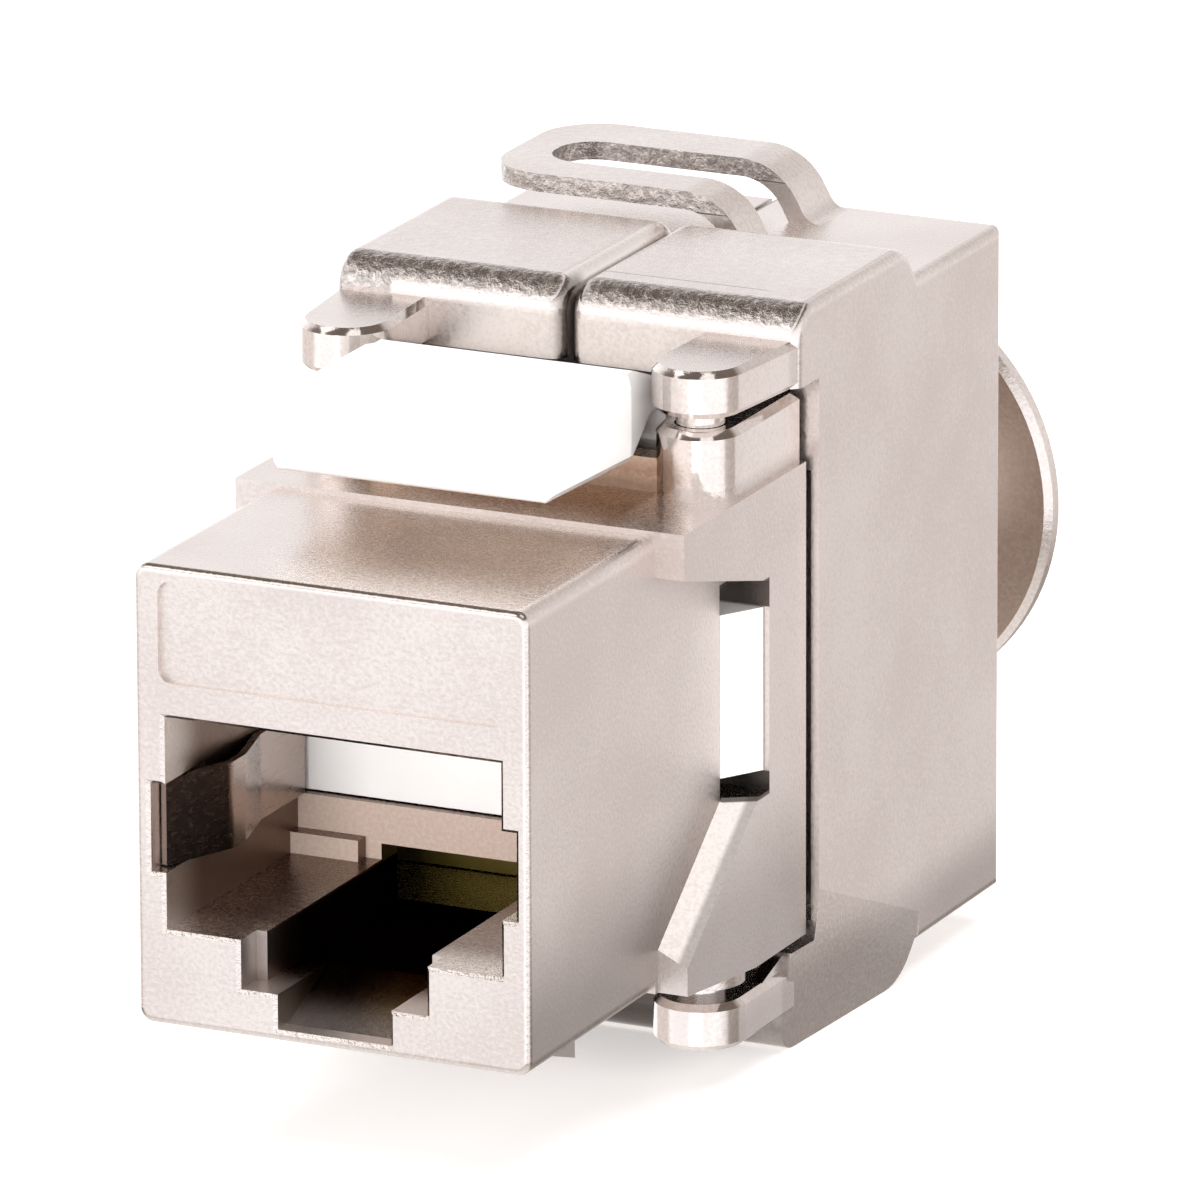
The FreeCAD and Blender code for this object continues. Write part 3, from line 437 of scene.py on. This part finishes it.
def roof_highlight_and_parting(plate):
    """Where the left roof's edge along the seam gets a painted highlight, and where the right roof has its
    parting line.
    """
    tree = plate.tree
    roof = rise(tree, plate.z, ROOF_FOOT)
    turned = rise(tree, dot(tree, plate.normal, EDGE_NORMAL), EDGE_TURN)
    edge = product(tree, turned, within(tree, plate.x, -EDGE_WIDTH, 0.0), roof)
    line = within(tree, plate.y, PARTING_PLACE - PARTING_HALF, PARTING_PLACE + PARTING_HALF, PARTING_SOFT)
    along = within(tree, plate.x, 0.0, PARTING_END, PARTING_END_SOFT)
    level = rise(tree, plate.turn_z, LEVEL_TURN)
    return edge, product(tree, level, line, along, roof, PARTING_DARKNESS)


def under_shade(plate):
    """Painted shade: how dark the doors' low front faces and the tops of their low ears are, under the block.
    """
    tree = plate.tree
    front = product(tree, fall(tree, plate.turn_y, UNDER_TURN), within(tree, plate.y, UNDER_FRONT, UNDER_REAR),
                    ease(tree, plate.off_middle, UNDER_SIDE, *UNDER_DARKNESS))
    ear = calc(tree, "MULTIPLY", rise(tree, plate.turn_z, LOW_EAR_TURN),
               fall(tree, plate.y, LOW_EAR_END, LOW_EAR_DARKNESS))
    return calc(tree, "MULTIPLY", fall(tree, plate.z, UNDER_BLOCK), calc(tree, "MAXIMUM", front, ear))


def flange_front(plate):
    """One on the face of the cable flange that looks at the doors."""
    tree = plate.tree
    return calc(tree, "MULTIPLY", rise(tree, plate.y, FLANGE_FRONT), fall(tree, plate.turn_y, FLANGE_TURN))


def cast_mask(plate):
    """One on the rounding along the doors' front edges, on the left corner below it and on the loop's sides."""
    tree = plate.tree
    rounding = rise(tree, dot(tree, plate.normal, BAND_NORMAL), BAND_TURN)
    corner = calc(tree, "MULTIPLY", rise(tree, dot(tree, plate.normal, CORNER_NORMAL), CORNER_TURN),
                  fall(tree, plate.x, CORNER_END))
    band = calc(tree, "MULTIPLY", calc(tree, "MAXIMUM", rounding, corner), rise(tree, plate.z, BAND_FOOT))
    loop = calc(tree, "MULTIPLY", fall(tree, plate.upright, LOOP_SIDE_TURN), rise(tree, plate.z, LOOP_FOOT))
    return calc(tree, "MAXIMUM", band, loop)


def door_marks_and_painted_light(plate, colour, height):
    """The doors' rough bands and marks, their painted shades and painted highlight, laid over the plate's
    colour and height.
    """
    tree = plate.tree
    band = cast_mask(plate)
    cast = noise(tree, plate.place, *CAST_NOISE)
    height = calc(tree, "MULTIPLY_ADD", calc(tree, "MULTIPLY", cast, band), CAST_DEPTH, height)
    edge, parting = roof_highlight_and_parting(plate)
    colour = blend(tree, product(tree, band, fall(tree, cast, PIT_SPAN, PIT_DARKNESS)), colour, ZINC_SHADE)
    # painted highlight along the left roof's seam edge
    colour = blend(tree, edge, colour, PAINTED_EDGE_HIGHLIGHT)
    colour = blend(tree, parting, colour, ZINC_SHADE)
    # painted shade on the flange's face towards the doors, standing in for its reflection of the neck and the
    # doors' backs
    colour = blend(tree, flange_front(plate), colour, FLANGE_SHADE, "MULTIPLY")
    # painted shade: under the block, on the leaning sides and along the seam
    for shade in (under_shade, painted_door_shade, seam_shade):
        colour = blend(tree, shade(plate), colour, ZINC_SHADE)
    plate.set("Metallic", 1.0)
    return colour, height


def housing_painted_shade_and_bare_metal(plate, colour, rough, grain, ridge):
    """The housing's painted shades and its port's painted shade and bare metal, laid over the plate's colour
    and roughness.
    """
    tree = plate.tree
    dark, channel, bare = port_masks(plate)
    # painted shade on the outer part of each cheek's ridge facet
    ridge_shade = product(tree, ridge, rise(tree, plate.off_middle, RIDGE_OUTER), RIDGE_DARKNESS)
    # painted shade: the sides near the table, the windows' walls and the ridges' outer part
    for factor in (painted_side_shade(plate), window_shade(plate), ridge_shade):
        colour = blend(tree, factor, colour, ZINC_SHADE)
    colour = blend(tree, latch_shadow(plate), colour, DECK_SHADE, "MULTIPLY")
    # painted shade: the port's walls darken with depth and its channel goes nearly black
    colour = blend(tree, dark, colour, PORT_SHADE)
    colour = blend(tree, channel, colour, CHANNEL_SHADE)
    casting = calc(tree, "MULTIPLY", bare, ease(tree, grain, BARE_GRAIN_SPAN, *BARE_COVER))
    colour = blend(tree, casting, colour, BARE_CASTING)
    plate.set("Metallic", ease(tree, bare, FULL_SPAN, 1.0, BARE_METALLIC))
    # painted shade in the channel's reflections too, through a dark specular tint
    plate.set("Specular Tint", blend(tree, channel, WHITE, CHANNEL_SHADE))
    return colour, calc(tree, "MULTIPLY_ADD", bare, BARE_ROUGHNESS, rough)


def plated_zinc(name, is_door):
    """Satin nickel plate on a casting: fine grain, polished where faces turn and glossier at the hinges."""
    plate = Plate(name)
    tree = plate.tree
    grain = noise(tree, plate.place, *GRAIN_NOISE)
    drift = noise(tree, plate.place, *DRIFT_NOISE)
    tone = calc(tree, "ADD", calc(tree, "MULTIPLY", grain, GRAIN_SHARE),
                calc(tree, "MULTIPLY", drift, 1.0 - GRAIN_SHARE))
    colour = blend(tree, rise(tree, tone, TONE_SPAN), ZINC_DARK, ZINC_LIGHT)
    if is_door:
        hinge = fall(tree, plate.y, EAR_END)
    else:
        ridge = ridge_mask(plate)
        hinge = calc(tree, "MAXIMUM", rise(tree, plate.z, POST_FOOT), ridge)
    forward = calc(tree, "ABSOLUTE", plate.turn_y)
    largest = calc(tree, "MAXIMUM", calc(tree, "MAXIMUM", plate.sideways, forward), plate.upright)
    polish = fall(tree, largest, POLISH_TURN)
    gloss = calc(tree, "MULTIPLY", hinge, fall(tree, plate.turn_z, LEVEL_TURN))
    rough = calc(tree, "SUBTRACT", ease(tree, grain, GRAIN_SPAN, *SATIN_ROUGHNESS),
                 rise(tree, plate.turn_z, DECK_TURN, DECK_GLOSS))
    for mask, share in ((polish, POLISH_GLOSS), (gloss, HINGE_GLOSS)):
        rough = calc(tree, "MAXIMUM", calc(tree, "MULTIPLY_ADD", mask, -share, rough), LEAST_ROUGHNESS)
    height = product(tree, grain, ease(tree, hinge, FULL_SPAN, 1.0, HINGE_GRAIN), GRAIN_DEPTH)
    if is_door:
        colour, height = door_marks_and_painted_light(plate, colour, height)
    else:
        colour, rough = housing_painted_shade_and_bare_metal(plate, colour, rough, grain, ridge)
    plate.set("Base Color", colour)
    plate.set("Roughness", rough)
    plate.set("Normal", bump(tree, height, 1.0))
    return plate.material


def moulded(name, colour, roughness):
    """Moulded plastic with a slight drift in tone and a faint ripple."""
    finish = Finish(name)
    tree = finish.tree
    ripple = noise(tree, finish.place, RIPPLE_SCALE)
    pores = noise(tree, finish.place, PORE_SCALE)
    finest, roughest = (roughness + change for change in PORE_ROUGHNESS)
    finish.set("Base Color", blend(tree, ripple, scaled(colour, RIPPLE_SHADE), colour))
    finish.set("Roughness", ease(tree, pores, PORE_SPAN, finest, roughest))
    finish.set("Normal", bump(tree, ripple, RIPPLE_DEPTH))
    finish.set("Subsurface Weight", SUBSURFACE_WEIGHT)
    finish.set("Subsurface Radius", SUBSURFACE_RADIUS)
    return finish.material


def rolled_metal(name, colour, roughness, along):
    """Sheet metal with the fine lines of rolling; along scales the pattern on each axis."""
    finish = Finish(name)
    tree = finish.tree
    stretch = node(tree, "ShaderNodeVectorMath", {0: finish.place, 1: along}, operation="MULTIPLY")
    lines = noise(tree, stretch.outputs[0], 1.0, LINE_DETAIL)
    finish.set("Base Color", blend(tree, lines, scaled(colour, LINE_SHADE), colour))
    finish.set("Roughness", ease(tree, lines, LINE_SPAN, roughness, roughness + LINE_ROUGHNESS))
    finish.set("Normal", bump(tree, lines, LINE_DEPTH))
    finish.set("Metallic", 1.0)
    return finish.material


def laminate(name, colour):
    """Solder mask over a woven board."""
    finish = Finish(name)
    tree = finish.tree
    pattern = {"Vector": finish.place, "Scale": WEAVE_SCALE, "Distortion": WEAVE_DISTORTION}
    weave = node(tree, "ShaderNodeTexWave", pattern).outputs["Fac"]
    mottle = noise(tree, finish.place, MOTTLE_SCALE, MOTTLE_DETAIL)
    finish.set("Base Color", blend(tree, mottle, colour, scaled(colour, MOTTLE_LIGHT)))
    finish.set("Roughness", ease(tree, weave, FULL_SPAN, *WEAVE_ROUGHNESS))
    finish.set("Normal", bump(tree, weave, WEAVE_DEPTH))
    return finish.material


def dress(material, *names):
    for name in names:
        parts[name].material_slots[0].material = material


def dress_parts():
    contacts = [name for name in parts if name.startswith("contact_") and name != "contact_insert"]
    blades = [name for name in parts if name.startswith("idc_blade")]
    dress(plated_zinc("housing_zinc", is_door=False), "front_housing")
    dress(plated_zinc("door_zinc", is_door=True), "left_door", "right_door")
    dress(moulded("white_plastic", WHITE_PLASTIC, GLOSSY_PLASTIC), "contact_insert", "wire_cap")
    dress(moulded("latch_plastic", LATCH_PLASTIC, GLOSSY_PLASTIC), "panel_latch")
    dress(moulded("terminal_plastic", TERMINAL_PLASTIC, DULL_PLASTIC), "idc_block_upper", "idc_block_lower")
    dress(laminate("board_laminate", SOLDER_MASK), "circuit_board")
    dress(rolled_metal("contact_gold", GOLD, *GOLD_ROLLING), *contacts)
    dress(rolled_metal("blade_tin", TIN, *TIN_ROLLING), *blades)
    dress(rolled_metal("spring_steel", SPRING_STEEL, *STEEL_ROLLING),
          "shield_spring_left", "shield_spring_right")


# Studio
def make_floor():
    """White paper just under the part, which lightens its own shadows and stays out of the metal."""
    low = cad_box[0][2] - FLOOR_GAP
    half = FLOOR_SIZE / 2
    mesh = bpy.data.meshes.new("floor")
    corners = [(-half, -half, low), (half, -half, low), (half, half, low), (-half, half, low)]
    mesh.from_pydata(corners, [], [(0, 1, 2, 3)])
    floor = bpy.data.objects.new("floor", mesh)
    bpy.context.scene.collection.objects.link(floor)
    paper = Finish("floor_paper")
    fibre = noise(paper.tree, paper.place, FIBRE_SCALE)
    paper.set("Base Color", blend(paper.tree, fibre, scaled(FLOOR_COLOUR, FLOOR_SHADE), FLOOR_COLOUR))
    paper.set("Roughness", FLOOR_ROUGHNESS)
    paper.set("Emission Color", (*WHITE, 1.0))
    paper.set("Emission Strength", FLOOR_GLOW)
    mesh.materials.append(paper.material)
    floor.visible_glossy = False


def make_surroundings():
    """A bright band round the horizon with a dark ceiling and a dark table, as the metal shows them."""
    world = bpy.data.worlds.new("studio")
    bpy.context.scene.world = world
    world.use_nodes = True
    tree = world.node_tree
    direction = node(tree, "ShaderNodeTexCoord").outputs["Generated"]
    height = split(tree, direction)[2]
    ramp = node(tree, "ShaderNodeValToRGB", {"Fac": calc(tree, "MULTIPLY_ADD", height, 0.5, 0.5)})
    stops = ramp.color_ramp.elements
    while len(stops) < len(SURROUNDINGS):
        stops.new(0.5)
    for stop, (level, colour) in zip(stops, SURROUNDINGS):
        stop.position = (level + 1) / 2
        stop.color = (*colour, 1.0)
    colour = ramp.outputs["Color"]
    for side, span, tint in SIDES:
        colour = blend(tree, rise(tree, dot(tree, direction, side), span), colour, tint, "MULTIPLY")
    background = tree.nodes["Background"]
    feed(tree, background.inputs["Color"], colour)
    feed(tree, background.inputs["Strength"], SURROUNDINGS_STRENGTH)


def softbox(name, place, aim, size, watts, colour, in_reflections):
    light = bpy.data.lights.new(name, "AREA")
    light.shape = "RECTANGLE"
    light.size, light.size_y = size
    light.energy = watts
    light.color = colour
    lamp = bpy.data.objects.new(name, light)
    bpy.context.scene.collection.objects.link(lamp)
    lamp.location = place
    lamp.rotation_euler = (aim - Vector(place)).to_track_quat("-Z", "Y").to_euler()
    lamp.visible_glossy = in_reflections
    lamp.visible_camera = False


def make_lights():
    for name, place, size, watts, colour, in_reflections in SOFTBOXES:
        softbox(name, place, TARGET, size, watts, colour, in_reflections)
    softbox("deck_glow", DECK_GLOW, DECK_GLOW + UP, DECK_GLOW_SIZE, DECK_GLOW_WATTS, DECK_TINT, False)


def make_camera():
    """The photograph's camera, as fitted to the part's corners."""
    azimuth = math.radians(AZIMUTH)
    elevation = math.radians(ELEVATION)
    back = Vector((math.sin(azimuth) * math.cos(elevation), -math.cos(azimuth) * math.cos(elevation),
                   math.sin(elevation)))
    level = Vector((math.cos(azimuth), math.sin(azimuth), 0.0))
    upright = back.cross(level)
    turn = math.radians(ROLL)
    right = math.cos(turn) * level + math.sin(turn) * upright
    up = math.cos(turn) * upright - math.sin(turn) * level
    lens = bpy.data.cameras.new("photo_camera")
    lens.sensor_width = SENSOR_MM
    lens.lens = FOCAL_PIXELS / IMAGE_PIXELS * SENSOR_MM
    lens.clip_start = CLIP_START
    camera = bpy.data.objects.new("photo_camera", lens)
    bpy.context.scene.collection.objects.link(camera)
    place = Matrix((right, up, back)).transposed().to_4x4()
    place.translation = TARGET + DISTANCE * back
    camera.matrix_world = place
    bpy.context.scene.camera = camera


dress_parts()
make_floor()
make_surroundings()
make_lights()
make_camera()
bpy.context.scene.view_settings.view_transform = "Standard"
